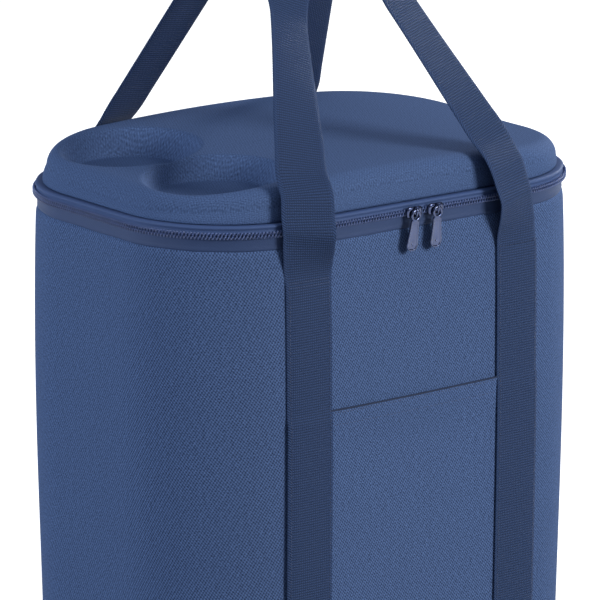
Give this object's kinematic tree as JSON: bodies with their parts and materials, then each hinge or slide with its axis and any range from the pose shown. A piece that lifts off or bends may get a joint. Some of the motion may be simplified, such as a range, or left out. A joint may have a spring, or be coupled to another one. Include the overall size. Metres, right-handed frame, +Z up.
{
  "type": "insulated cooler bag",
  "caption": "Upright soft cooler bag with a zipped, foam-filled lid that has round cup recesses, a slip pocket, and webbing handles front and back.",
  "frame": {"origin": "centre of the base, on the surface the bag stands on", "axes": "+Z up; -Y is the front, with the pocket and the zip pulls; +X is to the right seen from the front"},
  "size_m": [0.3906, 0.2822, 0.612],
  "materials": {
    "body_fabric": "woven polyester twill, satin",
    "lid_fabric": "woven polyester twill over moulded foam, satin",
    "base_fabric": "coated woven polyester, matt",
    "pocket_fabric": "woven polyester twill, satin",
    "webbing": "ribbed polypropylene webbing",
    "piping": "fabric-covered cord",
    "binding": "folded woven tape",
    "zip_tape": "herringbone zip tape",
    "thread": "bonded polyester thread",
    "zip_coil": "nylon monofilament coil",
    "zip_stop": "moulded nylon",
    "slider_metal": "glossy blue-black lacquer on die-cast zinc",
    "foam": "closed-cell polyethylene foam",
    "liner": "silver-grey coated heat-reflecting film, welded",
    "stiff_board": "polypropylene sheet"
  },
  "bodies": {
    "bag_body": {"base_panel": "base_fabric", "base_board": "stiff_board", "base_foam": "foam", "base_piping": "piping", "body_outer_shell": "body_fabric", "body_foam_wall": "foam", "inner_liner": "liner", "rim_binding": "binding", "front_pocket": "pocket_fabric", "pocket_hem": "pocket_fabric", "zip_tape_lower": "zip_tape", "zip_coil_lower": "zip_coil", "lid_hinge_strip": "zip_tape", "zip_end_stops": "zip_stop", "strap_front_left": "webbing", "strap_front_right": "webbing", "strap_back_left": "webbing", "strap_back_right": "webbing", "strap_bar_tacks": "thread"},
    "lid": {"lid_shell": "lid_fabric", "lid_foam": "foam", "lid_liner": "liner", "lid_binding": "binding", "zip_tape_upper": "zip_tape", "zip_coil_upper": "zip_coil"},
    "front_handle_legs": {"front_handle_base": "webbing"},
    "front_handle_grip": {"front_handle_loop": "webbing"},
    "back_handle_legs": {"back_handle_base": "webbing"},
    "back_handle_grip": {"back_handle_loop": "webbing"},
    "slider_left": {"slider_left": "slider_metal"},
    "slider_right": {"slider_right": "slider_metal"},
    "pull_left": {"pull_left": "slider_metal"},
    "pull_right": {"pull_right": "slider_metal"}
  },
  "joints": [
    {"name": "lid_open", "type": "hinge", "parent": "bag_body", "child": "lid", "pos_m": [0, 0.1365, 0.397], "axis": [-1, 0, 0], "range_deg": [0, 95]},
    {"name": "front_handle_fold", "type": "hinge", "parent": "bag_body", "child": "front_handle_legs", "pos_m": [0, -0.1365, 0.366], "axis": [1, 0, 0], "range_deg": [0, 171.5]},
    {"name": "front_handle_bend", "type": "hinge", "parent": "front_handle_legs", "child": "front_handle_grip", "pos_m": [0, -0.1315, 0.424], "axis": [1, 0, 0], "range_deg": [0, 29]},
    {"name": "back_handle_fold", "type": "hinge", "parent": "bag_body", "child": "back_handle_legs", "pos_m": [0, 0.1365, 0.366], "axis": [-1, 0, 0], "range_deg": [0, 171.5]},
    {"name": "back_handle_bend", "type": "hinge", "parent": "back_handle_legs", "child": "back_handle_grip", "pos_m": [0, 0.1315, 0.424], "axis": [-1, 0, 0], "range_deg": [0, 29]},
    {"name": "slider_left_run", "type": "slide", "parent": "bag_body", "child": "slider_left", "axis": [-1, 0, 0], "range_m": [0, 0.066]},
    {"name": "slider_right_run", "type": "slide", "parent": "bag_body", "child": "slider_right", "axis": [1, 0, 0], "range_m": [0, 0.052]},
    {"name": "pull_left_swing", "type": "hinge", "parent": "slider_left", "child": "pull_left", "pos_m": [-0.003, -0.1402, 0.3986], "axis": [-0.9877, 0, 0.1564], "range_deg": [0, 140]},
    {"name": "pull_right_swing", "type": "hinge", "parent": "slider_right", "child": "pull_right", "pos_m": [0.017, -0.1402, 0.3986], "axis": [-0.9976, 0, 0.0698], "range_deg": [0, 140]}
  ],
  "couplings": [
    {"joint": "front_handle_fold", "follows": "lid_open", "ratio": 1.8},
    {"joint": "front_handle_bend", "follows": "lid_open", "ratio": 0.3},
    {"joint": "back_handle_fold", "follows": "lid_open", "ratio": 1.8},
    {"joint": "back_handle_bend", "follows": "lid_open", "ratio": 0.3}
  ]
}
